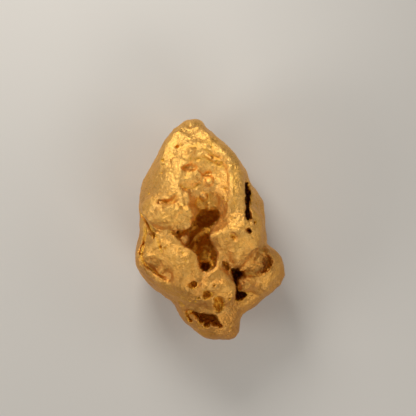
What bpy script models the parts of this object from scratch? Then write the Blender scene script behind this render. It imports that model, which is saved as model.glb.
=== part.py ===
"""Gold nugget, one natural piece of native gold, lying on its back with its hollowed face up.

X runs across it, Y from the broad toe up to the tip, Z up out of the face. The origin is
under the middle of its box, on the surface that it rests on. Sizes and places are in mm.

The mass is a lofted body with round lobes. Shallow valleys are worn into it, folds of metal
are laid over them, and hollows, then small pits and cracks, are cut through the folds.
Voxel remeshing melts each stage together. A worn flat on the back is what it rests on.
"""

import math

import bmesh
import bpy
from mathutils import Euler, Matrix, Vector

MM = 0.001

GOLD = (0.78, 0.47, 0.14)
GOLD_ROUGHNESS = 0.42

# Skin of each stage: voxel size, then the passes of smoothing.
MASS_SKIN = (0.16, 8)
FOLD_SKIN = (0.13, 4)
JOINED_SKIN = (0.13, 6)
HOLLOW_SKIN = (0.11, 2)
FINAL_SKIN = (0.11, 2)
FACES_KEPT = 0.061  # share of the last skin's faces that the solid keeps

# Irregular growth: how far each stage is pushed about, and how wide the swells are.
MASS_SWELL = (0.30, 2.6)
HOLLOW_SWELL = (0.26, 0.8)
SKIN_SWELL = (0.22, 1.3)

ABOVE = 10.0  # a level clear above the face, where a hollow's cutter starts

# Body, as sections across Y: y, left x, right x, back z, front z.
BODY_SECTIONS = [
    (9.0, -1.45, -1.2, 4.4, 4.9),
    (8.95, -1.85, -0.95, 3.8, 5.5),
    (8.7, -2.3, -0.65, 3.3, 6.0),
    (8.25, -2.85, -0.2, 2.7, 6.6),
    (7.6, -3.4, 0.5, 2.0, 7.1),
    (6.8, -3.95, 1.35, 1.3, 7.6),
    (5.8, -4.5, 2.35, 0.6, 8.1),
    (4.85, -5.0, 2.95, 0.2, 8.45),
    (3.85, -5.4, 3.35, -0.05, 8.65),
    (2.9, -5.65, 3.9, -0.2, 8.8),
    (1.9, -5.75, 4.3, -0.2, 8.8),
    (0.75, -5.75, 4.5, -0.2, 8.8),
    (-0.35, -5.75, 4.55, -0.2, 8.7),
    (-1.35, -6.0, 4.4, -0.2, 8.5),
    (-2.25, -6.1, 4.0, -0.2, 8.3),
    (-3.05, -5.95, 3.6, -0.1, 8.15),
    (-3.85, -5.5, 3.25, 0.05, 8.1),
    (-4.7, -4.7, 2.95, 0.4, 8.0),
    (-5.4, -3.7, 2.6, 0.9, 7.75),
    (-6.05, -2.75, 1.95, 1.5, 7.3),
    (-6.55, -2.05, 1.45, 2.2, 6.6),
    (-7.05, -1.0, 0.55, 3.6, 5.4),
]
BODY_FULLNESS = 2.3  # 2 is an ellipse, more is squarer
BODY_WIDEST = 0.47  # share of the depth at which a section is widest
BODY_SLICES = 100
BODY_STEPS_AROUND = 72

# Lumps: centre, radii, then turns in degrees about X, Y and Z.
LOBES = {
    "right lobe": ((3.95, -3.35, 4.4), (2.2, 2.2, 2.55)),
    "bottom lobe": ((0.35, -6.4, 4.2), (2.35, 2.7, 2.7)),
    "bottom lobe, left": ((-0.55, -6.0, 4.2), (2.25, 2.3, 2.6)),
    "toe": ((1.25, -7.8, 4.0), (1.25, 1.25, 1.5)),
}
HIP = [(3.75, -3.6, 4.2, 1.95), (2.95, -4.75, 4.2, 1.65), (1.95, -5.5, 4.3, 1.65)]

# Worn into the body before the folds lie on it.
VALLEYS = {
    "bowl": ((-0.5, 4.05, 11.05), (3.0, 4.05, 3.5), (-12, 0, 4)),
    "left valley": ((-4.9, -0.55, 8.6), (0.75, 2.1, 1.5), (0, -28, 30)),
    "slot valley": ((2.95, 1.9, 9.6), (0.65, 2.75, 1.5), (0, 8, 4)),
    "cheek's far valley": ((-3.65, 2.5, 9.5), (1.3, 0.55, 1.3), (0, -10, -8)),
    "plateau valley": ((-1.8, -5.4, 9.3), (1.65, 0.75, 1.7), (0, 0, -20)),
    "crater valley": ((4.25, -2.3, 8.6), (1.4, 1.05, 1.7), (0, 12, 0)),
    "knuckle valley": ((2.7, -4.6, 9.0), (0.75, 1.15, 1.7)),
}

FOLDS = {
    "cheek": ((-3.2, 1.35, 7.6), (2.05, 1.45, 1.45), (-4, -4, 8)),
    "cheek, back": ((-4.25, 1.65, 7.1), (1.4, 1.2, 1.5), (0, -15, 0)),
    "shoulder": ((2.45, 0.05, 7.3), (2.05, 2.35, 1.7), (0, 10, 10)),
    "shoulder, tip": ((2.05, -1.6, 7.0), (1.0, 1.45, 1.6)),
    "plateau": ((0.25, -4.85, 7.15), (1.85, 1.55, 1.3), (4, 4, 0)),
    "plateau, right": ((1.15, -4.7, 7.1), (1.0, 1.15, 1.25)),
    "knuckle": ((3.0, -4.4, 6.3), (0.75, 0.7, 0.9)),
    "bowl knob": ((-1.65, 4.1, 7.2), (0.9, 0.75, 1.0), (0, 0, -10)),
    "bowl knob, right": ((-0.1, 3.85, 7.2), (0.75, 0.65, 0.85), (0, 0, 10)),
    "bowl brow": ((-1.4, 6.0, 6.65), (1.05, 0.6, 0.9), (-10, 0, 10)),
    "bowl brow, right": ((0.1, 5.65, 6.85), (1.15, 0.5, 0.8), (-8, 0, -35)),
    "left lobe": ((-4.7, -2.3, 5.8), (1.4, 1.55, 1.6), (0, -20, 0)),
}
# Long folds, as beads along a curve: x, y, z and radius.
LONG_FOLDS = {
    "tongue": [
        (-3.75, -0.95, 7.0, 1.05), (-2.85, -1.9, 7.4, 1.15), (-2.1, -3.05, 7.5, 1.15),
        (-2.05, -4.2, 7.2, 1.15),
    ],
    "cheek edge": [
        (-2.75, 2.6, 7.9, 0.4), (-2.2, 2.8, 8.1, 0.45), (-1.75, 2.1, 8.15, 0.5),
        (-1.7, 1.2, 8.1, 0.5), (-2.1, 0.55, 7.95, 0.5), (-3.1, 0.35, 7.8, 0.55),
        (-4.05, 0.75, 7.4, 0.55),
    ],
    "inner rim": [
        (-2.5, 6.25, 7.2, 0.3), (-1.8, 6.7, 7.35, 0.3), (-0.9, 6.9, 7.45, 0.35),
        (0.0, 6.7, 7.55, 0.35), (0.85, 6.15, 7.75, 0.35), (1.45, 5.4, 7.95, 0.35),
        (1.75, 4.35, 8.15, 0.35), (1.8, 3.05, 8.35, 0.35), (1.6, 2.0, 8.4, 0.35),
        (1.1, 1.15, 8.25, 0.35), (0.6, 0.3, 8.1, 0.35),
    ],
    "outer rim": [
        (-1.05, 8.1, 6.5, 0.4), (-0.25, 7.5, 6.9, 0.45), (0.75, 6.7, 7.2, 0.5),
        (1.6, 5.8, 7.45, 0.5), (2.1, 4.85, 7.75, 0.5), (2.3, 3.7, 8.0, 0.5),
        (2.35, 2.55, 8.15, 0.5), (2.2, 1.45, 8.2, 0.55),
    ],
    "left brow": [
        (-1.85, 8.25, 6.2, 0.4), (-2.55, 7.55, 6.5, 0.5), (-3.2, 6.55, 6.8, 0.5),
        (-3.65, 5.4, 7.2, 0.5),
    ],
    "left cavity's lip": [
        (-5.8, -1.85, 6.0, 0.25), (-5.6, -2.65, 6.2, 0.25), (-5.15, -3.35, 6.5, 0.25),
        (-4.4, -3.95, 6.8, 0.25), (-3.5, -4.45, 7.15, 0.25),
    ],
    "plateau's lip": [
        (-0.85, -4.05, 7.75, 0.3), (-0.35, -4.15, 7.9, 0.3), (0.1, -3.65, 7.95, 0.3),
        (0.65, -3.4, 7.95, 0.3), (1.3, -3.7, 7.9, 0.3),
    ],
}

# Hollows, each from the closed smooth outline of its mouth, then the levels down its wall:
# z, the outline's scale there, and its shift in x and y.
WELLS = {
    "main cavity": (
        [
            (0.75, 1.5), (0.8, 1.0), (0.15, 0.3), (-0.1, -0.55), (0.1, -1.25), (0.55, -2.1),
            (0.4, -2.9), (-0.15, -3.45), (-0.75, -3.4), (-0.95, -2.65), (-1.2, -2.05),
            (-1.8, -1.65), (-2.25, -1.15), (-2.75, -0.5), (-2.95, -0.1), (-2.1, 0.05),
            (-1.55, 0.4), (-1.15, 1.3), (-0.25, 1.5),
        ],
        [(ABOVE, 0.98), (8.3, 0.98), (7.4, 1.0), (6.7, 1.02), (6.2, 0.95), (5.8, 0.7)],
    ),
    "crater": (
        [
            (3.3, -1.75), (3.95, -1.45), (4.5, -1.85), (4.95, -2.65), (4.7, -3.4),
            (3.95, -3.6), (3.2, -3.4), (2.9, -2.65),
        ],
        [(ABOVE, 1.02), (7.3, 1.02), (6.9, 0.95), (6.55, 0.8, 0.1, 0), (6.25, 0.45, 0.25, 0)],
    ),
    "left cavity": (
        [
            (-5.4, -2.75), (-4.9, -2.35), (-4.25, -2.3), (-3.75, -2.95), (-3.05, -3.6),
            (-3.2, -4.2), (-3.85, -4.05), (-4.7, -3.4),
        ],
        [
            (ABOVE, 1.02), (7.5, 1.0), (7.2, 0.9, -0.05, -0.06), (6.95, 0.72, -0.12, -0.14),
            (6.75, 0.5, -0.18, -0.2), (6.6, 0.2, -0.22, -0.26),
        ],
    ),
}
# Cut last, so that their lips stay crisp.
SMALL_WELLS = {
    "black cleft": (
        [
            (1.75, -3.3), (2.1, -3.2), (2.4, -3.0), (2.4, -3.45), (2.65, -3.7), (2.35, -4.0),
            (2.28, -4.5), (2.4, -4.85), (2.9, -5.0), (2.65, -5.4), (2.2, -5.6), (1.95, -5.4),
            (2.05, -5.0), (2.0, -4.5), (1.9, -4.0),
        ],
        [(ABOVE, 1.0), (7.6, 1.0), (6.6, 1.08), (5.2, 1.15), (3.8, 1.0), (3.1, 0.6)],
    ),
    "hole by the shoulder": (
        [
            (0.95, -2.5), (1.25, -2.5), (1.5, -2.75), (1.65, -3.05), (1.5, -3.3), (1.2, -3.0),
            (1.0, -2.75),
        ],
        [(ABOVE, 1.0), (7.4, 1.0), (6.6, 1.05, 0.1, 0), (6.0, 0.6, 0.1, 0)],
    ),
    "hole under the slot": (
        [(2.85, 0.15), (3.1, 0.12), (3.35, -0.05), (3.45, -0.25), (3.2, -0.3), (2.95, -0.1)],
        [(ABOVE, 1.0), (8.2, 1.0), (7.0, 1.0), (6.4, 0.6)],
    ),
    "right slot": (
        [
            (2.95, 3.8), (3.15, 3.2), (3.3, 2.65), (3.2, 2.05), (3.2, 1.5), (3.35, 1.0),
            (3.3, 0.75), (3.0, 0.65), (2.8, 0.9), (2.75, 1.35), (2.85, 1.9), (2.75, 2.45),
            (2.85, 2.75), (2.75, 3.2),
        ],
        [(ABOVE, 1.0), (7.0, 1.0), (6.4, 1.1), (5.2, 1.15), (4.4, 0.9), (4.0, 0.5)],
    ),
    "bottom slot": (
        [
            (-1.65, -6.55), (-0.65, -6.85), (0.45, -6.95), (0.55, -7.35), (1.05, -8.0),
            (0.35, -7.8), (-0.4, -7.95), (-0.85, -7.6), (-1.2, -7.1),
        ],
        [
            (ABOVE, 1.0), (6.6, 1.0), (6.0, 1.05, 0, 0.05), (5.4, 1.0, 0, 0.15),
            (4.9, 0.85, 0, 0.25), (4.6, 0.5, 0, 0.3),
        ],
    ),
    "bottom slit": (
        [(-2.1, -6.4), (-1.85, -6.55), (-1.55, -7.2), (-1.25, -7.7), (-1.6, -7.5), (-1.9, -7.0)],
        [(ABOVE, 1.0), (6.4, 1.0), (5.4, 1.0), (5.0, 0.6)],
    ),
    "plateau pit": (
        [(-1.8, -4.6), (-1.35, -4.3), (-1.0, -4.5), (-1.4, -4.75)],
        [(ABOVE, 1.05), (8.0, 1.05), (7.85, 0.95), (7.7, 0.6)],
    ),
    "plateau pit, middle": (
        [(-0.7, -5.45), (-0.45, -5.1), (0.3, -5.0), (0.05, -5.45), (-0.4, -5.75)],
        [(ABOVE, 1.05), (8.1, 1.05), (7.95, 0.95), (7.8, 0.6)],
    ),
    "plateau pit, low": (
        [(0.75, -5.4), (1.2, -5.9), (1.05, -6.6), (0.3, -6.7), (0.4, -5.95)],
        [
            (ABOVE, 1.0), (7.4, 1.0), (7.1, 0.9, 0, -0.05), (6.75, 0.75, 0, -0.15),
            (6.4, 0.45, 0, -0.3),
        ],
    ),
    "shoulder pit": (
        [(1.5, -0.2), (1.95, -0.2), (2.3, -0.95), (1.7, -0.8)],
        [(ABOVE, 1.0), (8.85, 1.0), (8.7, 0.85), (8.55, 0.5)],
    ),
}
POCKETS = {
    "lower bowl": ((0.1, 1.75, 9.7), (1.75, 2.35, 2.65), (-12, 16, 12)),
    "under the cheek": ((-0.35, 0.8, 6.3), (0.95, 0.7, 1.3), (0, 0, 20)),
    "cavity floor": ((-0.55, -1.5, 6.35), (0.85, 1.15, 1.25)),
    "cavity's right slope": ((0.5, -1.85, 9.6), (1.15, 1.95, 2.0), (0, 22, 20)),
}
SMALL_POCKETS = {
    "kidney": ((-1.75, 5.05, 8.15), (0.65, 0.3, 0.6), (0, 0, 15)),
    "kidney, right": ((-1.2, 4.9, 8.05), (0.35, 0.35, 0.6)),
    "behind the right knob": ((-0.15, 4.5, 7.9), (0.5, 0.25, 0.5)),
}
# Left standing inside the hollows.
CAVITY_LUMPS = {
    "upper": ((-0.55, 2.75, 7.3), (0.45, 0.45, 0.5), (0, 0, 20)),
    "middle": ((-0.1, 2.25, 7.1), (0.4, 0.35, 0.45)),
    "lower": ((0.1, 1.75, 6.95), (0.4, 0.3, 0.45)),
    "nodule": ((-2.1, -0.65, 6.75), (0.45, 0.7, 1.05), (0, 0, 15)),
    "saddle": ((-0.75, -0.3, 5.5), (0.95, 0.35, 1.05), (0, 0, 30)),
    "rib": ((-1.25, -1.3, 5.6), (0.3, 0.9, 0.8), (0, 0, 8)),
    "rib, inner": ((-0.75, -0.75, 5.05), (0.25, 0.6, 0.55), (0, 0, -25)),
    "grain on the slope": ((0.4, -2.0, 6.3), (0.3, 0.4, 0.5)),
    "in the low pit": ((0.75, -6.0, 6.6), (0.2, 0.35, 0.4)),
    "in the middle pit": ((0.05, -5.35, 7.1), (0.2, 0.2, 0.45)),
}
# Narrow holes and creases, as beads.
SHAFTS = {
    "deep hole": [(-0.4, -2.9, 6.2, 0.5), (-0.35, -3.05, 5.3, 0.45), (-0.3, -3.1, 4.6, 0.4)],
    "crater's far side": [
        (4.2, -1.65, 6.9, 0.25), (4.55, -2.2, 6.3, 0.35), (4.75, -2.75, 6.0, 0.4),
        (4.65, -3.25, 6.1, 0.35), (4.35, -3.55, 6.4, 0.25),
    ],
    "cheek crease": [
        (-4.35, 2.35, 8.35, 0.2), (-3.85, 2.2, 8.4, 0.25), (-3.35, 2.15, 8.5, 0.3),
        (-2.95, 2.35, 8.65, 0.25), (-2.8, 2.8, 8.65, 0.2),
    ],
    "left crease": [
        (-5.6, 1.3, 5.5, 0.3), (-5.2, 0.75, 6.2, 0.35), (-4.85, 0.05, 6.65, 0.35),
        (-4.25, -0.75, 7.45, 0.25),
    ],
    "left crease, lower": [
        (-5.3, 0.0, 6.2, 0.25), (-5.25, -0.5, 6.3, 0.3), (-5.4, -1.2, 6.3, 0.3),
        (-5.55, -1.95, 6.65, 0.25),
    ],
    "slit in the left cavity": [
        (-5.2, -3.0, 6.3, 0.2), (-4.7, -3.4, 6.15, 0.25), (-4.15, -3.7, 6.2, 0.25),
        (-3.65, -4.05, 6.6, 0.15),
    ],
    "cleft to the crater": [
        (2.5, -3.75, 7.2, 0.15), (3.3, -3.65, 6.8, 0.2), (4.15, -3.7, 6.85, 0.15),
    ],
    "cheek's underside": [
        (-3.05, -0.25, 8.3, 0.15), (-2.7, -0.4, 8.0, 0.2), (-2.3, -0.3, 7.7, 0.25),
        (-1.85, 0.1, 7.2, 0.3),
    ],
}

# The back and the sides: dents around the worn flat, folds between them, and holes.
BACK_DENTS = {
    "upper dent": ((-1.65, 5.65, -1.3), (1.8, 1.15, 2.1), (25, 0, 20)),
    "side dent": ((-4.5, 1.2, -0.8), (0.8, 1.65, 1.9), (0, 30, 0)),
    "lower dent": ((-2.75, -4.95, -0.6), (1.3, 0.8, 2.0), (-25, 15, 0)),
    "right dent": ((4.25, 1.2, -0.4), (0.75, 1.8, 1.8), (0, -30, 0)),
    "waist": ((2.3, -7.05, 0.6), (0.8, 1.3, 1.6), (0, 0, 40)),
    "left flank, high": ((-6.35, 3.9, 1.75), (1.6, 2.1, 1.2), (25, 0, -10)),
    "left flank, middle": ((-6.45, 0.4, 2.7), (1.3, 0.7, 1.5), (30, 0, 0)),
    "left flank, low": ((-6.8, -2.5, 1.6), (1.7, 1.4, 1.5), (-35, 0, 0)),
    "right flank, high": ((4.45, 4.3, 2.2), (1.6, 2.0, 1.2), (25, 0, 25)),
    "right flank, low": ((5.5, 0.1, 2.2), (1.7, 1.5, 1.4), (-30, 0, 0)),
    "right flank, top": ((4.95, 1.7, 5.75), (1.0, 1.5, 0.8), (20, 0, 0)),
    "lobe's far dent": ((6.3, -4.05, 3.0), (1.1, 1.2, 1.0)),
    "lobe's low dent": ((4.9, -5.7, 3.15), (1.1, 0.9, 0.9)),
    "lobe's high dent": ((5.05, -1.2, 3.0), (0.9, 0.9, 1.1)),
    "toe dent": ((0.8, -9.3, 2.5), (1.6, 1.2, 1.0), (0, 15, 0)),
    "tip's left dent": ((-4.3, 7.2, 3.2), (1.2, 1.2, 0.9), (0, 0, -30)),
    "tip's right dent": ((1.9, 7.8, 3.9), (1.3, 1.1, 1.0), (0, 0, 30)),
}
BACK_FOLDS = {
    "left flank's fold": [
        (-3.9, 5.45, 2.3, 0.45), (-4.7, 4.35, 3.1, 0.45), (-5.05, 2.6, 3.2, 0.5),
        (-5.0, 1.6, 2.0, 0.5), (-4.9, -0.65, 1.7, 0.55), (-5.45, -2.2, 3.1, 0.5),
        (-5.05, -3.5, 3.0, 0.45),
    ],
    "right flank's fold": [
        (1.0, 6.4, 3.0, 0.45), (2.2, 5.1, 3.2, 0.45), (3.05, 3.3, 3.4, 0.5),
        (3.65, 1.85, 2.5, 0.5), (3.4, 1.2, 1.6, 0.5), (3.3, -0.8, 1.4, 0.5),
    ],
    "toe's fold": [
        (-1.75, -6.9, 3.2, 0.5), (-0.9, -7.7, 2.5, 0.55), (0.5, -7.95, 2.15, 0.55),
        (1.7, -7.2, 2.35, 0.5),
    ],
    "lobe's fold": [(4.3, -1.9, 2.7, 0.5), (5.05, -2.75, 2.7, 0.6), (4.9, -4.1, 2.6, 0.5)],
}
BACK_PITS = {
    "back hole": [(-3.4, -2.65, -0.5, 0.4), (-3.25, -2.5, 1.2, 0.45), (-3.1, -2.3, 2.4, 0.35)],
    "back hole, small": [(1.3, 4.35, -0.5, 0.25), (1.2, 4.2, 1.1, 0.3)],
    "left flank's slit": [
        (-5.6, 1.1, 3.2, 0.3), (-5.4, 0.7, 2.7, 0.35), (-5.4, 0.5, 2.1, 0.3),
    ],
    "right flank's slit": [
        (3.55, 3.2, 2.5, 0.25), (3.9, 2.5, 2.9, 0.35), (4.25, 1.5, 3.1, 0.3),
    ],
    "hole in the lobe": [(6.0, -3.7, 3.0, 0.35), (5.2, -3.6, 3.4, 0.4)],
    "slit in the toe": [
        (-1.0, -8.75, 3.2, 0.3), (-0.4, -8.55, 2.95, 0.4), (0.3, -8.75, 3.1, 0.3),
    ],
    "slit by the tip": [(-3.3, 6.9, 3.3, 0.25), (-2.8, 7.3, 2.9, 0.3), (-2.1, 7.8, 2.9, 0.25)],
}

BENCH = (30.0, 30.0, 3.0)  # block that wears the flat, its top at z = 0


def new_object(name, build):
    """Makes a mesh object from what build() adds to an empty bmesh."""
    bm = bmesh.new()
    build(bm)
    bmesh.ops.recalc_face_normals(bm, faces=bm.faces)
    mesh = bpy.data.meshes.new(name)
    bm.to_mesh(mesh)
    bm.free()
    obj = bpy.data.objects.new(name, mesh)
    bpy.context.scene.collection.objects.link(obj)
    return obj


def helper(name, build):
    """An object that only shapes others."""
    obj = new_object(name, build)
    obj.hide_render = True
    obj.display_type = "WIRE"
    return obj


def smooth_through(points, count, closed):
    """Reads count points from the Catmull-Rom curve through the given ones."""
    spans = len(points) if closed else len(points) - 1

    def point(index):
        return points[index % len(points)] if closed else points[max(0, min(spans, index))]

    curve = []
    for step in range(count):
        place = step * spans / (count if closed else count - 1)
        start = min(int(place), spans - 1)
        t = place - start
        near = zip(point(start - 1), point(start), point(start + 1), point(start + 2))
        curve.append(tuple(
            b + 0.5 * t * (c - a + t * (2 * a - 5 * b + 4 * c - d + t * (3 * b - a - 3 * c + d)))
            for a, b, c, d in near
        ))
    return curve


def loft(bm, rings):
    """Skins a closed body over rings of equal length, with a fan at each end."""
    loops = [[bm.verts.new(Vector(point) * MM) for point in ring] for ring in rings]
    count = len(loops[0])
    for lower, upper in zip(loops, loops[1:]):
        for i in range(count):
            j = (i + 1) % count
            bm.faces.new((lower[i], lower[j], upper[j], upper[i]))
    for loop in (loops[0], loops[-1]):
        middle = bm.verts.new(sum((vert.co for vert in loop), Vector()) / count)
        for i in range(count):
            bm.faces.new((loop[i], loop[(i + 1) % count], middle))


def lump(bm, centre, radii, turns=(0, 0, 0), subdivisions=3):
    turned = Euler([math.radians(turn) for turn in turns]).to_matrix().to_4x4()
    scaled = Matrix.Diagonal((*(radius * MM for radius in radii), 1))
    place = Matrix.Translation(Vector(centre) * MM) @ turned @ scaled
    bmesh.ops.create_icosphere(bm, subdivisions=subdivisions, radius=1.0, matrix=place)


def bead_chain(bm, beads, spacing=0.45):
    """A worm of overlapping balls along the smooth curve through the beads."""
    length = sum(math.dist(a[:3], b[:3]) for a, b in zip(beads, beads[1:]))
    mean_radius = sum(bead[3] for bead in beads) / len(beads)
    count = max(len(beads), int(length / (mean_radius * spacing)) + 2)
    for x, y, z, radius in smooth_through(beads, count, closed=False):
        lump(bm, (x, y, z), (radius, radius, radius), subdivisions=2)


def well(bm, mouth, levels):
    """A hollow whose mouth outline goes down its wall, scaled about its middle at each level."""
    outline = smooth_through(mouth, 6 * len(mouth), closed=True)
    middle_x = sum(x for x, y in outline) / len(outline)
    middle_y = sum(y for x, y in outline) / len(outline)
    rings = []
    for z, scale, *shift in levels:
        dx, dy = shift or (0, 0)
        rings.append([
            (middle_x + (x - middle_x) * scale + dx, middle_y + (y - middle_y) * scale + dy, z)
            for x, y in outline
        ])
    loft(bm, rings)


def superellipse(angle):
    """Point of a unit superellipse of the body's fullness."""
    circle = (math.cos(angle), math.sin(angle))
    return [math.copysign(abs(side) ** (2 / BODY_FULLNESS), side) for side in circle]


def build_body(bm):
    rings = []
    for y, left, right, back, front in smooth_through(BODY_SECTIONS, BODY_SLICES, closed=False):
        middle, half = (left + right) / 2, (right - left) / 2
        widest = back + (front - back) * BODY_WIDEST
        ring = []
        for step in range(BODY_STEPS_AROUND):
            across, up = superellipse(math.tau * step / BODY_STEPS_AROUND)
            depth = front - widest if up > 0 else widest - back
            ring.append((middle + half * across, y, widest + up * depth))
        rings.append(ring)
    loft(bm, rings)
    for shape in LOBES.values():
        lump(bm, *shape)
    bead_chain(bm, HIP)


def build_valleys(bm):
    for shape in VALLEYS.values():
        lump(bm, *shape)


def build_folds(bm):
    for shape in FOLDS.values():
        lump(bm, *shape)
    for beads in (LONG_FOLDS | BACK_FOLDS).values():
        bead_chain(bm, beads)


def build_hollows(bm):
    for mouth, levels in WELLS.values():
        well(bm, mouth, levels)
    for shape in (POCKETS | BACK_DENTS).values():
        lump(bm, *shape)


def build_pits(bm):
    for mouth, levels in SMALL_WELLS.values():
        well(bm, mouth, levels)
    for shape in SMALL_POCKETS.values():
        lump(bm, *shape)
    for beads in (SHAFTS | BACK_PITS).values():
        bead_chain(bm, beads)


def build_cavity_lumps(bm):
    for shape in CAVITY_LUMPS.values():
        lump(bm, *shape)


def clouds(name, width, coloured):
    texture = bpy.data.textures.new(name, "CLOUDS")
    texture.noise_scale = width * MM
    texture.noise_depth = 1
    texture.cloud_type = "COLOR" if coloured else "GRAYSCALE"
    return texture


def remesh(obj, skin):
    voxel, passes = skin
    modifier = obj.modifiers.new("Melted together", "REMESH")
    modifier.mode = "VOXEL"
    modifier.voxel_size = voxel * MM
    modifier = obj.modifiers.new("Worn round", "SMOOTH")
    modifier.iterations = passes


def swell(obj, name, reach, width, along_normal=False):
    modifier = obj.modifiers.new(name, "DISPLACE")
    modifier.texture = clouds(name, width, coloured=not along_normal)
    modifier.texture_coords = "LOCAL"
    modifier.direction = "NORMAL" if along_normal else "RGB_TO_XYZ"
    modifier.strength = reach * MM


def combine(obj, operation, other):
    modifier = obj.modifiers.new(other.name, "BOOLEAN")
    modifier.operation = operation
    modifier.object = other


def gold():
    material = bpy.data.materials.new("native_gold")
    material.use_nodes = True
    shader = material.node_tree.nodes["Principled BSDF"]
    shader.inputs["Base Color"].default_value = (*GOLD, 1)
    shader.inputs["Metallic"].default_value = 1.0
    shader.inputs["Roughness"].default_value = GOLD_ROUGHNESS
    return material


def build_bench(bm):
    scaled = Matrix.Diagonal((*(side * MM for side in BENCH), 1))
    place = Matrix.Translation((0, 0, -BENCH[2] / 2 * MM))
    bmesh.ops.create_cube(bm, size=1.0, matrix=place @ scaled)


def main():
    for obj in list(bpy.data.objects):
        bpy.data.objects.remove(obj)

    valleys = helper("valleys", build_valleys)
    remesh(valleys, FOLD_SKIN)
    folds = helper("folds", build_folds)
    remesh(folds, FOLD_SKIN)
    hollows = helper("hollows", build_hollows)
    remesh(hollows, HOLLOW_SKIN)
    pits = helper("pits", build_pits)
    remesh(pits, HOLLOW_SKIN)
    for cutter in (hollows, pits):
        swell(cutter, "Ragged walls", *HOLLOW_SWELL)
    cavity_lumps = helper("cavity_lumps", build_cavity_lumps)
    remesh(cavity_lumps, HOLLOW_SKIN)
    bench = helper("bench", build_bench)

    nugget = new_object("nugget", build_body)
    remesh(nugget, MASS_SKIN)
    combine(nugget, "DIFFERENCE", valleys)
    combine(nugget, "UNION", folds)
    combine(nugget, "DIFFERENCE", hollows)
    combine(nugget, "UNION", cavity_lumps)
    remesh(nugget, JOINED_SKIN)
    swell(nugget, "Uneven growth", *MASS_SWELL)
    combine(nugget, "DIFFERENCE", pits)
    remesh(nugget, FINAL_SKIN)
    swell(nugget, "Lumpy skin", *SKIN_SWELL, along_normal=True)
    modifier = nugget.modifiers.new("Fewer faces", "DECIMATE")
    modifier.ratio = FACES_KEPT
    combine(nugget, "DIFFERENCE", bench)
    nugget.data.shade_smooth()
    nugget.data.materials.append(gold())


main()
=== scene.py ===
import itertools
import math

import bmesh
import bpy
import numpy as np
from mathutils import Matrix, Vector


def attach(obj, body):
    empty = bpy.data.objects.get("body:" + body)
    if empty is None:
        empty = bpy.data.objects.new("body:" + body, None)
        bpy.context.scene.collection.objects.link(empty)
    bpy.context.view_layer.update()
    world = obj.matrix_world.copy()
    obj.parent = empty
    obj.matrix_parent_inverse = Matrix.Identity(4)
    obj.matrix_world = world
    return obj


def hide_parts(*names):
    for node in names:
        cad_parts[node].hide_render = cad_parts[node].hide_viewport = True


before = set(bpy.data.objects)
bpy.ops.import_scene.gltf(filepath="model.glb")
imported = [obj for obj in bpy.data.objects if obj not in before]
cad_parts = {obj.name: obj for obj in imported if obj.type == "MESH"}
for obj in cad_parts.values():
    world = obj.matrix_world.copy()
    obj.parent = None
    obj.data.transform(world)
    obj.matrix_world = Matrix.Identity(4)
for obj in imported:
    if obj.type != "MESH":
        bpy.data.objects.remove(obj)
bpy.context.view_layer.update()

mm = 0.001


# Smooth curve through a few given points: Catmull-Rom, read at even steps of its parameter.
def curveThrough(points, steps):
    points = np.array(points, float)
    padded = np.vstack([points[:1], points, points[-1:]])
    place = np.linspace(0, len(points) - 1, steps)
    start = np.minimum(place.astype(int), len(points) - 2)
    t = (place - start)[:, None]
    a, b, c, d = (padded[start + i] for i in range(4))
    return b + 0.5 * t * (c - a + t * (2 * a - 5 * b + 4 * c - d + t * (3 * b - a - 3 * c + d)))


# 0 below low, 1 above high, and 3t^2 - 2t^3 between them.
def smoothStep(value, low, high):
    t = np.clip((value - low) / (high - low), 0, 1)
    return t * t * (3 - 2 * t)


# Three random numbers from 0 to 1 for each whole-number point, by mixing its bits.
def scatter(cell, seed):
    x, y, z = (cell[:, i].astype(np.uint64) for i in range(3))
    mixed = x * np.uint64(73856093) ^ y * np.uint64(19349663) ^ z * np.uint64(83492791)
    mixed = mixed ^ np.uint64(seed * 2654435761)
    out = []
    for turn in range(3):
        mixed = (mixed ^ (mixed >> np.uint64(15))) * np.uint64(2246822519 + 2 * turn)
        mixed = (mixed ^ (mixed >> np.uint64(13))) * np.uint64(3266489917)
        out.append(((mixed >> np.uint64(16)) & np.uint64(0xFFFF)).astype(np.float32) / 65535)
    return np.stack(out, axis=1)


# Gradient noise, about -1 to 1: a random slope at each whole-number corner, blended with
# 6t^5 - 15t^4 + 10t^3 across the cell.
def noise(points, size, seed):
    scaled = (points / size).astype(np.float32)
    cell = np.floor(scaled)
    t = scaled - cell
    blend = t * t * t * (t * (t * 6 - 15) + 10)
    total = np.zeros(len(points), np.float32)
    for corner in itertools.product((0, 1), repeat=3):
        corner = np.array(corner, np.float32)
        slope = scatter((cell + corner).astype(np.int64), seed) * 2 - 1
        weight = np.prod(np.where(corner > 0, blend, 1 - blend), axis=1)
        total += weight * np.sum(slope * (t - corner), axis=1)
    return total * 1.6


# Distance to the nearest of the random points, one in each cell, as a share of the cell's size.
def pebbles(points, size, seed):
    scaled = (points / size).astype(np.float32)
    cell = np.floor(scaled)
    nearest = np.full(len(points), 9, np.float32)
    for step in itertools.product((-1, 0, 1), repeat=3):
        home = cell + np.array(step, np.float32)
        away = scaled - home - scatter(home.astype(np.int64), seed)
        nearest = np.minimum(nearest, np.sqrt(np.sum(away * away, axis=1)))
    return nearest


# Distance from each point to a polyline in the XY plane, and how far along it that is, 0 to 1.
def distanceToLine(points, line):
    nearest = np.full(len(points), 9.0)
    along = np.zeros(len(points))
    for index, (start, end) in enumerate(zip(line, line[1:])):
        run = end - start
        t = np.clip(((points - start) @ run) / (run @ run), 0, 1)
        distance = np.linalg.norm(points - start - t[:, None] * run, axis=1)
        along = np.where(distance < nearest, (index + t) / (len(line) - 1), along)
        nearest = np.minimum(nearest, distance)
    return nearest, along


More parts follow.
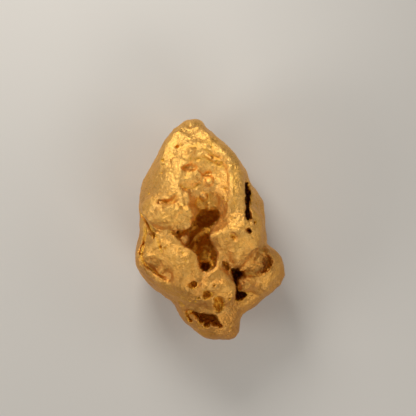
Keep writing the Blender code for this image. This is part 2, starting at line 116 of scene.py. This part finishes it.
# Distance of each point from x, y, seen from above.
def awayFrom(points, x, y):
    return np.hypot(points[:, 0] - x, points[:, 1] - y)


# Share of the sky that each point sees. For each direction of an even spiral over the ball, the points
# are dropped into square bins across it, and one that isn't behind the foremost of its bin is lit.
def opennessOf(points, normals, directions=72, bin=0.16, slack=0.14):
    step = np.arange(directions)
    height = 1 - 2 * (step + 0.5) / directions
    turn = step * math.pi * (3 - math.sqrt(5))
    level = np.sqrt(1 - height * height)
    rays = np.stack([level * np.cos(turn), level * np.sin(turn), height], axis=1)
    seen = np.zeros(len(points))
    possible = np.zeros(len(points))
    for ray in rays:
        facing = np.clip(normals @ ray, 0, 1)
        side = np.cross(ray, (0, 0, 1) if abs(ray[2]) < 0.9 else (1, 0, 0))
        side /= np.linalg.norm(side)
        across = np.stack([points @ side, points @ np.cross(ray, side)], axis=1)
        column, row = np.floor((across - across.min(axis=0)) / bin).astype(int).T
        depth = points @ ray
        foremost = np.full((column.max() + 1, row.max() + 1), -99.0)
        np.maximum.at(foremost, (column, row), depth)
        lit = depth > foremost[column, row] - slack - bin * (1 - facing)
        seen += facing * lit
        possible += facing
    return seen / np.maximum(possible, 1e-6)


def readVertices(mesh, what):
    values = np.empty(len(mesh.vertices) * 3, np.float32)
    mesh.vertices.foreach_get(what, values)
    return values.reshape(-1, 3).astype(float)


# Averages a value over neighbours, as many times as asked.
def spread(mesh, values, times):
    ends = np.empty(len(mesh.edges) * 2, np.int32)
    mesh.edges.foreach_get("vertices", ends)
    a, b = ends.reshape(-1, 2).T
    count = np.bincount(a, minlength=len(values)) + np.bincount(b, minlength=len(values))
    for _ in range(times):
        total = np.bincount(a, values[b], len(values)) + np.bincount(b, values[a], len(values))
        values = 0.5 * values + 0.5 * total / np.maximum(count, 1)
    return values


def bakeModifiers(obj):
    graph = bpy.context.evaluated_depsgraph_get()
    mesh = bpy.data.meshes.new_from_object(obj.evaluated_get(graph))
    obj.modifiers.clear()
    old, obj.data = obj.data, mesh
    bpy.data.meshes.remove(old)


nuggetForm = {
    "rounding": 2,  # subdivisions that round the solid's facets
    "grain": 0.045,  # mm, mesh fineness while the relief is worked out
    "triangles": 194000,
    # Width and height of each kind of mark in the skin, in mm.
    "marks": {
        "swells": (1.3, 0.05),
        "lumps": (0.5, 0.04),
        "dents": (0.5, 0.038),
        "small dents": (0.26, 0.032),
        "wrinkles": (0.4, 0.04),
        "fine wrinkles": (0.2, 0.028),
        "grain": (0.14, 0.026),
        "crumbs": (0.27, 0.24),
        "small crumbs": (0.15, 0.13),
    },
    "flow": (1.7, 0.5),  # mm, width and reach of the push that makes the wrinkles flow
    "stretch": (1.0, 0.45, 0.7),  # share of each axis in the wrinkles: the less, the longer they run
    "wander": (0.5, 0.05),  # mm, width and reach of the wander in the listed marks
    # Where the skin is most crumpled: x, y, radius. Elsewhere it is smoother.
    "crumpled": [
        (-0.9, 5.2, 2.6), (-3.1, 1.4, 1.5), (0.9, 3.2, 1.3), (-1.3, 7.2, 1.6), (-4.6, -2.9, 1.2),
        (3.7, -2.6, 1.3), (2.9, -4.3, 0.9),
    ],
    "smoothShare": 0.55,  # of the marks, outside the crumpled places
    # Creases (height below 0) and ridges (above 0) across the face: width, height, then points x, y.
    "creases": {
        "outer rim": (0.32, 0.05, [
            (-1.45, 7.6), (-0.4, 7.6), (0.35, 6.95), (1.05, 6.4), (1.55, 5.75), (1.7, 4.85),
            (1.95, 3.3), (1.85, 2.1), (1.55, 1.35), (0.9, 0.6), (0.35, 0.05)]),
        "groove inside the rim": (0.16, -0.06, [
            (-2.1, 6.5), (-1.25, 6.8), (-0.75, 7.05), (-0.1, 7.05), (0.4, 6.65)]),
        "groove right of the rim": (0.14, -0.06, [
            (1.85, 5.35), (1.95, 4.35), (2, 3.2), (2.05, 2.25), (1.95, 1.5)]),
        "ridge right of the groove": (0.2, 0.03, [
            (2.1, 5.4), (2.3, 4.35), (2.4, 3.2), (2.4, 2.1), (2.3, 1.25)]),
        "valley at the tip": (0.45, -0.1, [(-2.3, 8.25), (-1.7, 8), (-1.05, 7.9)]),
        "left edge": (0.3, 0.09, [(-4.4, 6.15), (-3.85, 6.95), (-3.25, 7.75), (-2.7, 8.35)]),
        "step on the left": (0.35, -0.05, [(-3.2, 6.5), (-3.2, 5.65), (-3.1, 4.85), (-2.95, 4.05)]),
        "layer": (0.12, -0.14, [(-0.6, 6), (-0.25, 5.75), (0.2, 5.45), (0.65, 5.2), (1.3, 5)]),
        "upper layer": (0.12, -0.13, [(-0.55, 6.65), (-0.1, 6.3), (0.4, 5.9), (0.8, 5.65)]),
        "layer's ridge": (0.17, 0.13, [(-0.75, 6.25), (-0.25, 5.95), (0.25, 5.6), (0.75, 5.4)]),
        "brow's arc": (0.16, 0.12, [(-1.75, 5.75), (-1.6, 6.25), (-1, 6.55), (-0.3, 6.55), (0.25, 6.2)]),
        "under the brow": (0.14, -0.09, [(-1.45, 5.6), (-0.9, 5.75), (-0.35, 5.6), (0.1, 5.2)]),
        "left of the bowl": (0.4, -0.07, [(-2.5, 5.9), (-2.6, 5.1), (-2.4, 4.3)]),
        "cheek crease": (0.1, -0.08, [
            (-4.45, 2.4), (-4.05, 2.3), (-3.7, 2.2), (-3.25, 2.15), (-2.9, 2.35), (-2.75, 2.75)]),
        "cheek's edge": (0.3, 0.12, [
            (-2.2, 3.15), (-1.8, 2.75), (-1.45, 1.95), (-1.3, 1.45), (-1.35, 0.95), (-1.65, 0.45),
            (-2.1, 0.1)]),
        "cheek's inner ridge": (0.25, 0.06, [(-2.5, 2.95), (-2.6, 2.3), (-3.1, 1.65), (-3.4, 1.1)]),
        "cheek's left ridge": (0.3, 0.05, [(-4.9, 2.15), (-4.4, 1.75), (-4.05, 1.1), (-3.85, 0.55)]),
        "left crease": (0.1, -0.22, [(-5.6, 1.3), (-5.15, 0.7), (-4.7, -0.05), (-4.25, -0.7)]),
        "left crease's branch": (0.09, -0.14, [(-5.15, 0.7), (-4.95, 0.2), (-4.85, -0.2)]),
        "left crease, low": (0.1, -0.14, [(-4.25, -0.7), (-4.1, -1.35), (-3.8, -1.85)]),
        "left crease, filled": (0.25, 0.2, [(-5.4, 1.1), (-5, 0.5), (-4.6, -0.05), (-4.3, -0.5)]),
        "second crease, filled": (0.2, 0.13, [(-5.3, 0.1), (-5.2, -0.3), (-5.3, -0.65), (-5.4, -1.1)]),
        "second crease": (0.12, -0.18, [
            (-5.3, 0.15), (-5.2, -0.3), (-5.3, -0.65), (-5.4, -1.2), (-5.55, -1.95)]),
        "left hollow's lip": (0.15, 0.13, [
            (-5.7, -2.25), (-5.5, -2.8), (-5.15, -3.2), (-4.5, -3.7), (-3.9, -4.1), (-3.35, -4.3)]),
        "left hollow's crease": (0.1, -0.18, [
            (-5.6, -1.9), (-5.45, -2.55), (-5.1, -2.95), (-4.6, -3.35), (-4.3, -3.5), (-3.7, -4.05)]),
        "left hollow's upper lip": (0.15, 0.06, [(-5.35, -2.35), (-4.9, -2.1), (-4.4, -2.1), (-4, -2.4)]),
        "crease by the crater": (0.11, -0.07, [(2.55, -3.65), (3.25, -3.6), (3.75, -3.7), (4.3, -3.65)]),
        "shoulder's edge over the crater": (0.16, 0.08, [
            (4.25, -1.1), (3.6, -1.6), (3.0, -2.15), (2.6, -2.8), (2.4, -3.05)]),
        "crater's trough": (0.12, -0.08, [
            (4.15, -1.6), (4.5, -1.95), (4.8, -2.55), (4.8, -3.1), (4.4, -3.5)]),
        "crater's far lip": (0.16, 0.1, [(4.5, -1.35), (4.95, -2.2), (5.1, -2.95), (4.75, -3.5)]),
        "tongue's edge": (0.25, 0.08, [
            (-1.95, -1.25), (-1.45, -1.75), (-1.1, -2.15), (-0.9, -2.95), (-1, -3.6)]),
        "plateau's top lip": (0.2, 0.06, [
            (-1, -3.85), (-0.35, -4.05), (-0.1, -3.6), (0.45, -3.15), (0.95, -3.4)]),
        "plateau's edge": (0.2, 0.06, [(1.6, -3.9), (1.95, -4.55), (1.95, -5.15), (1.85, -5.5)]),
        "slit by the nodule": (0.11, -0.16, [(-3.2, -0.15), (-2.95, -0.25), (-2.7, -0.45), (-2.45, -0.85)]),
        "crack to the cleft": (0.11, -0.1, [(1.3, -2.75), (1.45, -3.05), (1.7, -3.4)]),
        "crack above the slot": (0.12, -0.1, [(-2.6, -5.65), (-2.1, -6.25)]),
        "fold under the slot": (0.2, -0.05, [(-1.65, -7.95), (-0.4, -8.35), (0.8, -8.25)]),
        "crescent under the knob": (0.11, -0.16, [
            (-2.4, 3.6), (-2.1, 3.4), (-1.85, 3.35), (-1.25, 3.4), (-0.8, 3.85)]),
        "fill beside the knob": (0.24, 0.22, [(-1.2, 4.8), (-0.9, 4.5), (-0.82, 4.05), (-1, 3.7)]),
        "fill beside the small knob": (0.2, 0.07, [(0.3, 4.4), (0.3, 3.85), (-0.1, 3.6)]),
        "arc over the small knob": (0.11, -0.05, [(-0.5, 4.35), (-0.15, 4.6), (0.25, 4.65)]),
        "shoulder's fold": (0.3, -0.05, [(1, -0.55), (1, -1.35), (1.3, -2.15), (1.65, -2.75)]),
        "shoulder's tip": (0.25, 0.06, [(1.55, -2.8), (1.95, -3), (2.45, -2.95)]),
        "hip's groove": (0.4, -0.06, [(3.4, -4.95), (2.75, -5.75), (2.1, -6.55)]),
    },
    # Pinholes in the face: x, y, radius, depth.
    "pinholes": [
        (-2.7, 6.75, 0.18, 0.42), (-2.35, 6.9, 0.12, 0.17), (-3.8, 5.6, 0.18, 0.28),
        (-3.75, 5.25, 0.1, 0.14), (-3.9, 4.6, 0.13, 0.21), (-1.6, 5.75, 0.13, 0.17),
        (-0.95, 5.65, 0.12, 0.17), (0.5, 5.5, 0.16, 0.25), (0.9, 5.4, 0.24, 0.14), (0.15, 6.7, 0.13, 0.18),
        (1.2, 3.35, 0.16, 0.22), (1.05, 2.5, 0.11, 0.18), (1.35, 2.3, 0.11, 0.2), (1.55, 2.55, 0.1, 0.17),
        (1.2, 2.1, 0.1, 0.14), (1.7, 1, 0.11, 0.14), (1.3, -0.7, 0.11, 0.17), (0.35, -4.5, 0.14, 0.31),
        (-0.95, -5.55, 0.14, 0.31), (1.6, -5.6, 0.14, 0.28), (3.65, 0.6, 0.16, 0.56),
        (-4.95, 2.9, 0.12, 0.14), (-3.6, -1.5, 0.13, 0.22), (-5.4, -1.2, 0.16, 0.22),
        (-5.55, -1.95, 0.17, 0.28), (-4.05, -1.4, 0.18, 0.28), (-1.15, -5.8, 0.12, 0.17),
        (-1.65, -5.75, 0.13, 0.12), (1.65, -7.95, 0.12, 0.14), (2.45, -5.75, 0.16, 0.12),
        (-1.3, -4.4, 0.32, 0.25), (-0.3, -5.15, 0.36, 0.28), (0.55, -5.65, 0.34, 0.25),
        (0.5, -6.15, 0.3, 0.2), (-2.2, -1.85, 0.14, 0.12), (-1.95, -2.5, 0.12, 0.12),
    ],
    # Dirt and painted shade fill a crease or a pinhole that is this deep, and a crease of this width or more
    # holds none.
    "darkening": {"crease": 0.22, "pinhole": 0.12, "width": 0.2},
    # Low bumps on the face: x, y, radius, height.
    "bumps": [
        (-1.6, 4.1, 0.75, 0.16), (-0.05, 4.0, 0.5, 0.15), (-1.55, 4.65, 0.35, 0.1), (-3.55, 1.75, 0.4, 0.14),
        (-2.95, 1.15, 0.35, 0.14), (-2.45, 1.6, 0.4, 0.13), (-3.4, 0.9, 0.35, 0.12), (-4.15, 1.5, 0.4, 0.12),
        (-2.3, 2.35, 0.35, 0.12), (2.9, -3.55, 0.3, 0.2), (-2.1, -0.6, 0.4, 0.15), (-1.55, 1.5, 0.65, 0.32),
        (-1.6, 1.05, 0.5, 0.1), (-4.45, -2.75, 0.5, 0.26), (-3.9, -3.35, 0.5, 0.32),
        (-3.45, -3.75, 0.4, 0.25), (3.4, -3.95, 0.24, 0.1), (-0.1, 1.75, 0.3, 0.2), (-0.5, 2.75, 0.42, 0.28),
        (-0.1, 2.1, 0.2, 0.1), (-0.9, 1.9, 0.21, 0.08), (-1.2, 4.75, 0.26, 0.12), (-1.45, 6.3, 0.5, 0.16),
        (-0.8, 6.5, 0.33, 0.1), (-2.05, 5.9, 0.41, 0.1), (-0.35, 6.5, 0.33, 0.08), (0.1, 5.8, 0.33, 0.1),
        (-2.3, -0.75, 0.29, 0.1), (-1.95, 4.05, 0.41, 0.06), (-1.2, 3.8, 0.33, 0.05),
        (-0.1, 3.8, 0.37, 0.08), (-0.35, 4.2, 0.18, 0.08), (3.4, 0.5, 0.23, 0.12), (2.8, 2.75, 0.15, 0.12),
        (3.65, -2.5, 0.9, 0.4), (-0.6, -7.7, 0.3, 0.3), (-1.1, -7.3, 0.25, 0.25), (0.1, -7.75, 0.25, 0.25),
        (3, -5.9, 0.24, 0.05), (2.1, -6, 0.21, 0.06), (0.65, 0.3, 0.24, 0.05), (-3.1, 1.45, 0.73, 0.06),
        (-2.45, 0.7, 0.41, 0.05), (-3.75, 0.95, 0.41, 0.05), (-1.95, 1.65, 0.41, 0.06),
        (-4.7, 1.9, 0.41, 0.05), (-4.9, -2.65, 0.24, 0.1), (-4.25, -3.15, 0.33, 0.12),
        (-3.75, -3.7, 0.33, 0.12), (-4.65, -2.9, 0.24, 0.08), (2.3, -1.65, 0.65, 0.05),
        (2.45, 0.05, 0.73, 0.05), (0.25, -4.75, 0.57, 0.05), (1, -4.35, 0.41, 0.05),
        (-0.35, -4.45, 0.33, 0.04), (-4.9, -1.25, 0.49, 0.05), (-3.4, 4.35, 0.57, 0.05),
        (-4.05, 3.55, 0.49, 0.04), (-3.1, 5.65, 0.49, 0.05),
    ],
    # Hollows with crumbly floors: x, y, radius, and the level that the floor stays under.
    "crumbFloors": [
        (3.95, -2.65, 1.05, 6.75), (-4.5, -3.0, 0.7, 6.75), (-3.8, -3.6, 0.7, 6.75), (-0.4, -7.35, 1.0, 6.2),
        (-0.6, -1.6, 1.3, 7.0), (-0.3, 1.4, 1.2, 7.2),
    ],
    # Mouths with torn edges: x, y, radius.
    "tornMouths": [
        (3.05, 3.2, 0.7), (3.1, 2.2, 0.9), (3.1, 1.1, 0.9), (3.15, 0.1, 0.5), (-0.5, -7.4, 1.6),
        (2.1, -3.7, 0.9), (2.2, -5.3, 0.8), (1.3, -2.8, 0.6), (-1.3, -4.55, 0.6), (-0.3, -5.35, 0.7),
        (0.75, -6.0, 0.8), (1.8, -0.55, 0.45), (-0.4, -3.1, 0.7),
    ],
    # Bright, freshly broken gold, and painted light on shaded floors: x, y, radius.
    "freshLitFloors": [(3.7, -2.55, 1.1), (-4.35, -3.0, 0.9), (-3.75, -3.6, 0.8)],
    # Brown stain and painted shade in the hollows: x, y, radius, the level that it stays under, strength.
    "stainsAndShade": [
        (-0.5, 0.6, 1.5, 7.1, 0.6), (-0.5, 1.9, 1.4, 8, 0.75), (-0.55, -1.65, 1.6, 7, 0.6),
        (-0.4, -3.0, 1, 7, 1), (-1.7, -0.5, 0.9, 7, 0.5), (-0.5, -7.35, 1.7, 6.3, 1),
        (2.2, -4.2, 1.9, 6.3, 1), (3.1, 2, 2, 8.2, 1), (3.1, 0.1, 0.6, 8.3, 1), (4.7, -2.7, 0.7, 6.2, 0.4),
        (-4.9, -2.4, 0.6, 7.3, 0.15), (-1.4, -4.5, 0.7, 8.1, 2), (-0.3, -5.35, 0.8, 8.2, 1.8),
        (0.75, -6, 0.9, 7.8, 1.8), (1.8, -0.5, 0.6, 8.8, 1.5), (1.3, -2.8, 0.6, 7.6, 1),
    ],
}


def reskin(obj):
    skin = obj.modifiers.new("Even skin", "REMESH")
    skin.mode = "VOXEL"
    skin.voxel_size = nuggetForm["grain"] * mm
    bakeModifiers(obj)


def roundedCopy(node):
    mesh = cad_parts[node].data.copy()
    shell = bmesh.new()
    shell.from_mesh(mesh)
    bmesh.ops.remove_doubles(shell, verts=shell.verts, dist=1e-6)
    shell.to_mesh(mesh)
    shell.free()
    mesh.materials.clear()
    nugget = bpy.data.objects.new("gold_nugget", mesh)
    bpy.context.scene.collection.objects.link(nugget)
    rounding = nugget.modifiers.new("Rounding", "SUBSURF")
    rounding.levels = rounding.render_levels = nuggetForm["rounding"]
    reskin(nugget)
    return nugget


# Sum of the skin's marks: noise for swells, lumps and grain, the distance to the nearest random point for
# dents, and 0.4 - 1.6 |noise| for wrinkles, on points pushed about so that the wrinkles flow.
def skinRelief(points):
    width, reach = nuggetForm["flow"]
    flow = points + reach * np.stack([noise(points, width, seed) for seed in (11, 12, 13)], axis=1)
    drawn = flow * np.array(nuggetForm["stretch"])
    relief = np.zeros(len(points))
    for kind, seed in (("dents", 2), ("small dents", 3)):
        width, height = nuggetForm["marks"][kind]
        relief += height * (smoothStep(pebbles(flow, width, seed), 0.1, 0.75) - 0.6)
    width, height = nuggetForm["marks"]["wrinkles"]
    folded = smoothStep(noise(points, 1.1, 5), -0.4, 0.3)
    relief += height * (0.4 - np.abs(noise(drawn, width, 4)) * 1.6) * folded
    width, height = nuggetForm["marks"]["fine wrinkles"]
    relief += height * (0.4 - np.abs(noise(drawn, width, 6)) * 1.6)
    share = np.zeros(len(points))
    for x, y, radius in nuggetForm["crumpled"]:
        away = awayFrom(points, x, y)
        share = np.maximum(share, smoothStep(radius - away, -0.4, 0.4))
    smoothShare = nuggetForm["smoothShare"]
    relief *= smoothShare + (1 - smoothShare) * share
    for kind, seed in (("swells", 1), ("lumps", 8), ("grain", 7)):
        width, height = nuggetForm["marks"][kind]
        relief += height * noise(points, width, seed)
    return relief


# Heaps of round crumbs: 0.45 less the distance to the nearest random point.
def crumbRelief(points):
    relief = np.zeros(len(points))
    for kind, seed in (("crumbs", 21), ("small crumbs", 22)):
        width, height = nuggetForm["marks"][kind]
        relief += height * (0.45 - pebbles(points, width, seed))
    return relief


# How crumbly each point is, 0 to 1: the deep parts, and the floors and torn mouths named above.
def crumbliness(points, openness):
    share = smoothStep(0.5 - openness, 0.0, 0.3)
    for x, y, radius, level in nuggetForm["crumbFloors"]:
        away = awayFrom(points, x, y)
        inside = smoothStep(radius - away, 0, 0.3) * smoothStep(level - points[:, 2], 0, 0.2)
        share = np.maximum(share, inside)
    for x, y, radius in nuggetForm["tornMouths"]:
        away = awayFrom(points, x, y)
        share = np.maximum(share, smoothStep(radius - away, 0, 0.3) * smoothStep(0.75 - openness, 0, 0.2))
    return share


# Marks set on the face: e^-(distance / width)^2 across a crease or ridge, which fades at its
# ends, and (1 - (distance / radius)^2)^2 over a pinhole or bump. The dirt and painted shade, 0 to 1, darken
# the narrow creases and the pinholes.
def faceMarks(points, normals):
    relief = np.zeros(len(points))
    dirtAndShade = np.zeros(len(points))
    width, reach = nuggetForm["wander"]
    wander = reach * np.stack([noise(points, width, seed) for seed in (31, 32)], axis=1)
    place = points[:, :2] + wander
    front = smoothStep(normals[:, 2], -0.1, 0.3) * smoothStep(points[:, 2], 4.0, 5.0)
    for width, height, line in nuggetForm["creases"].values():
        line = curveThrough(line, 6 * len(line))
        low, high = line.min(axis=0) - 3 * width, line.max(axis=0) + 3 * width
        near = np.flatnonzero(np.all((place > low) & (place < high), axis=1) & (front > 0))
        away, along = distanceToLine(place[near], line)
        fade = np.clip(np.minimum(along, 1 - along) * 6 + 0.25, 0, 1)
        uneven = 1 + 0.5 * noise(points[near], 0.6, 33)
        mark = height * uneven * fade * np.exp(-((away / width) ** 2))
        relief[near] += mark
        if width < nuggetForm["darkening"]["width"]:
            dirtAndShade[near] = np.maximum(dirtAndShade[near], -mark / nuggetForm["darkening"]["crease"])
    for sign, spots in ((-1, nuggetForm["pinholes"]), (1, nuggetForm["bumps"])):
        for x, y, radius, height in spots:
            away = awayFrom(place, x, y) / radius
            mark = sign * height * np.clip(1 - away * away, 0, 1) ** 2
            relief += mark
            dirtAndShade = np.maximum(dirtAndShade, -mark / nuggetForm["darkening"]["pinhole"])
    return relief * front, np.clip(dirtAndShade, 0, 1) * front


def displace(obj):
    mesh = obj.data
    points = readVertices(mesh, "co") / mm
    normals = readVertices(mesh, "normal")
    openness = spread(mesh, opennessOf(points, normals), 4)
    rough = crumbliness(points, openness)
    relief = skinRelief(points) * (1 - 0.5 * rough) + crumbRelief(points) * rough
    marks, _ = faceMarks(points, normals)
    moved = points + normals * (relief + marks)[:, None]
    moved[:, 2] = np.maximum(moved[:, 2], 0)
    mesh.vertices.foreach_set("co", (moved * mm).astype(np.float32).ravel())
    mesh.update()


# A new skin over the relief, then fewer faces. The skin's faces have four sides, so each is two triangles.
def thin(obj):
    reskin(obj)
    fewer = obj.modifiers.new("Fewer faces", "DECIMATE")
    fewer.ratio = min(1, nuggetForm["triangles"] / (2 * len(obj.data.polygons)))
    bakeModifiers(obj)


# How stained and shaded each point is, 0 to 1: stain and painted shade in the hollows named above,
# painted shade in every deep place, and dirt and painted shade in the creases. It is below 0, down to -1,
# where the gold is freshly broken, with painted light on these shaded floors.
def shadeAndStainOf(points, openness, dirtAndShade):
    # Painted shade: darker where a point sees little of the sky.
    shadeAndStain = 0.8 * smoothStep(0.3 - openness, 0, 0.28)
    for x, y, radius, level, strength in nuggetForm["stainsAndShade"]:
        away = awayFrom(points, x, y)
        inside = smoothStep(radius - away, 0, 0.5) * smoothStep(level - points[:, 2], 0, 0.25)
        shadeAndStain = np.maximum(shadeAndStain, strength * inside * smoothStep(0.8 - openness, 0, 0.65))
    # Freshly broken gold, and painted light that lifts these shaded floors.
    for x, y, radius in nuggetForm["freshLitFloors"]:
        away = awayFrom(points, x, y)
        shadeAndStain -= smoothStep(radius - away, 0, 0.3) * (openness < 0.95)
    return np.clip(np.maximum(shadeAndStain, 0.7 * dirtAndShade), -1, 1)


def storeShadeAndStain(obj):
    mesh = obj.data
    points, normals = readVertices(mesh, "co") / mm, readVertices(mesh, "normal")
    openness = spread(mesh, opennessOf(points, normals), 2)
    _, dirtAndShade = faceMarks(points, normals)
    shadeAndStain = shadeAndStainOf(points, openness, dirtAndShade)
    mesh.attributes.new("shadeAndStain", "FLOAT", "POINT").data.foreach_set("value", shadeAndStain.astype(np.float32))
    mesh.shade_smooth()


nugget = roundedCopy("nugget")
print("rounded copy:", len(nugget.data.polygons), "faces")
displace(nugget)
print("relief is on")
thin(nugget)
storeShadeAndStain(nugget)
print("nugget:", len(nugget.data.polygons), "faces")


# A shader socket that can be used in sums. Numbers mix freely with it.
class Signal:
    def __init__(self, tree, socket):
        self.tree, self.socket = tree, socket

    def maths(self, operation, *others, clamp=False):
        settings = {"operation": operation, "use_clamp": clamp}
        return self.tree.add("ShaderNodeMath", settings, dict(enumerate(others)))

    def __add__(self, other):
        return self.maths("ADD", self, other)

    def __radd__(self, other):
        return self.maths("ADD", other, self)

    def __sub__(self, other):
        return self.maths("SUBTRACT", self, other)

    def __rsub__(self, other):
        return self.maths("SUBTRACT", other, self)

    def __mul__(self, other):
        return self.maths("MULTIPLY", self, other)

    def __rmul__(self, other):
        return self.maths("MULTIPLY", other, self)

    def clamped(self):
        return self.maths("ADD", self, 0, clamp=True)


class Tree:
    def __init__(self, material):
        material.use_nodes = True
        self.nodes, self.links = material.node_tree.nodes, material.node_tree.links
        self.nodes.clear()

    # Any node: its type, its settings, then the values or links of its sockets by name or number.
    def add(self, kind, settings=(), sockets=(), output=0):
        node = self.nodes.new(kind)
        for name, value in dict(settings).items():
            setattr(node, name, value)
        for name, value in dict(sockets).items():
            if isinstance(value, Signal):
                self.links.new(value.socket, node.inputs[name])
            else:
                node.inputs[name].default_value = value
        return Signal(self, node.outputs[output]) if len(node.outputs) else None

    def mix(self, share, low, high):
        sockets = {"Factor": share, 6: low, 7: high}
        return self.add("ShaderNodeMix", {"data_type": "RGBA"}, sockets, output=2)


goldFinish = {
    "open": (0.86, 0.435, 0.086, 1),
    "pale": (0.96, 0.575, 0.16, 1),
    "copper": (0.60, 0.262, 0.05, 1),
    "pitted": (0.55, 0.27, 0.05, 1),
    # recess and deep: the colours of stain and painted shade in the hollows.
    "recess": (0.77, 0.405, 0.047, 1),
    "deep": (0.76, 0.37, 0.038, 1),
    "soot": (0.40, 0.23, 0.12, 1),
    # Freshly broken gold, and painted light on shaded floors:
    "freshAndLit": (1.0, 0.68, 0.25, 1),
    "roughness": 0.46,
    # Clouds in the colour: how many per mm, levels of detail, and how rough the detail is.
    "patches": (0.55, 4, 0.55),
    "mottle": (2.2, 4, 0.6),
    "speckle": (4.6, 4, 0.65),
    "dust": (11, 2, 0.55),
    "poresPerMm": 6.5,
    "grainHeight": 0.00012,  # m, of the finest grain
}


def goldMaterial():
    material = bpy.data.materials.new("native gold")
    tree = Tree(material)
    place = tree.add("ShaderNodeTexCoord", output=3)
    inMm = tree.add("ShaderNodeVectorMath", {"operation": "SCALE"}, {0: place, "Scale": 1000})
    shadeAndStain = tree.add("ShaderNodeAttribute", {"attribute_name": "shadeAndStain"}, output=2)

    def cloud(name):
        perMm, detail, rough = goldFinish[name]
        sockets = {"Vector": inMm, "Scale": perMm, "Detail": detail, "Roughness": rough}
        return tree.add("ShaderNodeTexNoise", {}, sockets)

    patches, mottle, speckle, dust = (cloud(name) for name in ("patches", "mottle", "speckle", "dust"))
    lengthwise = tree.add("ShaderNodeSeparateXYZ", {}, {0: inMm}, output=1)
    # Below 0 the attribute holds freshly broken gold and painted light; above 0, stain and painted shade.
    freshAndLit = (0.0 - shadeAndStain).clamped()
    shadeAndStain = shadeAndStain.clamped()
    # Paler towards +y and more coppery towards -y: painted light and shade down the length, lit from the +y
    # side.
    toCopper = ((patches - 0.5) * 2.5 + 0.45 - lengthwise * 0.075 - freshAndLit).clamped()
    toPale = (mottle - 0.5) * 3.0 + (speckle - 0.5) * 2.5 + 0.35 + lengthwise * 0.045
    toPale = (toPale + freshAndLit * 0.7).clamped()
    colour = tree.mix(toCopper, goldFinish["open"], goldFinish["copper"])
    colour = tree.mix(toPale * 0.7, colour, goldFinish["pale"])
    colour = tree.mix(freshAndLit, colour, goldFinish["freshAndLit"])
    pitted = ((speckle - 0.53) * 6.0 + (dust - 0.5) * 3.0).clamped()
    colour = tree.mix(pitted * 0.8, colour, goldFinish["pitted"])
    uneven = (mottle - 0.5) * 0.6 + (speckle - 0.5) * 0.8
    # Stain and painted shade: the recess colour, then the deep colour where it is strongest.
    colour = tree.mix((shadeAndStain * 1.7 + uneven * shadeAndStain).clamped(), colour, goldFinish["recess"])
    colour = tree.mix((shadeAndStain * 2.0 - 1.0 + uneven * shadeAndStain).clamped(), colour, goldFinish["deep"])
    sooty = ((dust - 0.58) * 10.0).clamped() * ((patches - 0.46) * 8.0).clamped()
    colour = tree.mix(sooty * 0.6, colour, goldFinish["soot"])
    rough = goldFinish["roughness"] + (mottle - 0.5) * 0.35 + pitted * 0.15 - freshAndLit * 0.1

    pores = tree.add("ShaderNodeTexVoronoi", {}, {"Vector": inMm, "Scale": goldFinish["poresPerMm"]})
    fine = (mottle * 0.6 + speckle * 0.6 + dust * 0.25 + pores * 0.25) * (0.85 + shadeAndStain * 0.6 + freshAndLit * 0.8)
    sockets = {"Strength": 1.0, "Distance": goldFinish["grainHeight"], "Height": fine}
    bump = tree.add("ShaderNodeBump", {}, sockets)
    sockets = {"Base Color": colour, "Metallic": 1.0, "Roughness": rough, "Normal": bump}
    shader = tree.add("ShaderNodeBsdfPrincipled", {}, sockets)
    tree.add("ShaderNodeOutputMaterial", {}, {"Surface": shader})
    return material


nugget.data.materials.append(goldMaterial())
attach(nugget, "root")
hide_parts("nugget")
print("gold is on")


studio = {
    "floor": (0.62, 0.58, 0.52, 1),
    "floorSize": 3.0,  # m
    "floorRoughness": 0.75,
    "sky": 0.15,
    "lens": 400,  # mm
    "aim": (-0.16, 1.75, 4.5),  # mm, the middle of the view
    "view": 33.9,  # mm across the view there
    # Place in m, size in m and power in W of each soft light.
    "lights": {
        "key": ((-0.014, 0.038, 0.04), 0.022, 0.0178),
        "left side": ((-0.07, -0.02, 0.042), 0.035, 0.019),
        "right side": ((0.07, 0, 0.045), 0.04, 0.0105),
        "low side": ((0.03, -0.062, 0.048), 0.04, 0.021),
    },
    "lightAim": (0, 0, 0.004),
    "sensor": 36,  # mm across the film
}


def plainMaterial(name, colour, roughness):
    material = bpy.data.materials.new(name)
    tree = Tree(material)
    shader = tree.add("ShaderNodeBsdfPrincipled", {}, {"Base Color": colour, "Roughness": roughness})
    tree.add("ShaderNodeOutputMaterial", {}, {"Surface": shader})
    return material


def makeFloor():
    half = studio["floorSize"] / 2
    corners = np.array([(-1, -1, 0), (1, -1, 0), (1, 1, 0), (-1, 1, 0)]) * half
    mesh = bpy.data.meshes.new("floor")
    mesh.from_pydata(corners.tolist(), [], [(0, 1, 2, 3)])
    floor = bpy.data.objects.new("floor", mesh)
    bpy.context.scene.collection.objects.link(floor)
    floor.data.materials.append(plainMaterial("pale floor", studio["floor"], studio["floorRoughness"]))


def makeLight(name, place, size, power):
    lamp = bpy.data.lights.new(name, "AREA")
    lamp.size, lamp.energy = size, power
    light = bpy.data.objects.new(name, lamp)
    bpy.context.scene.collection.objects.link(light)
    light.location = place
    away = Vector(studio["lightAim"]) - Vector(place)
    light.rotation_euler = away.to_track_quat("-Z", "Y").to_euler()


def makeSky():
    world = bpy.data.worlds.new("studio")
    world.use_nodes = True
    background = world.node_tree.nodes["Background"]
    background.inputs["Color"].default_value = (1, 1, 1, 1)
    background.inputs["Strength"].default_value = studio["sky"]
    bpy.context.scene.world = world


def makeCamera():
    lens = bpy.data.cameras.new("camera")
    lens.lens, lens.sensor_width = studio["lens"], studio["sensor"]
    lens.clip_start = 0.005
    camera = bpy.data.objects.new("camera", lens)
    bpy.context.scene.collection.objects.link(camera)
    x, y, z = studio["aim"]
    away = studio["view"] * studio["lens"] / studio["sensor"]
    camera.location = (x * mm, y * mm, (z + away) * mm)
    bpy.context.scene.camera = camera


makeFloor()
for name, (place, size, power) in studio["lights"].items():
    makeLight(name, place, size, power)
makeSky()
makeCamera()
bpy.context.scene.view_settings.view_transform = "Standard"
print("studio is set")
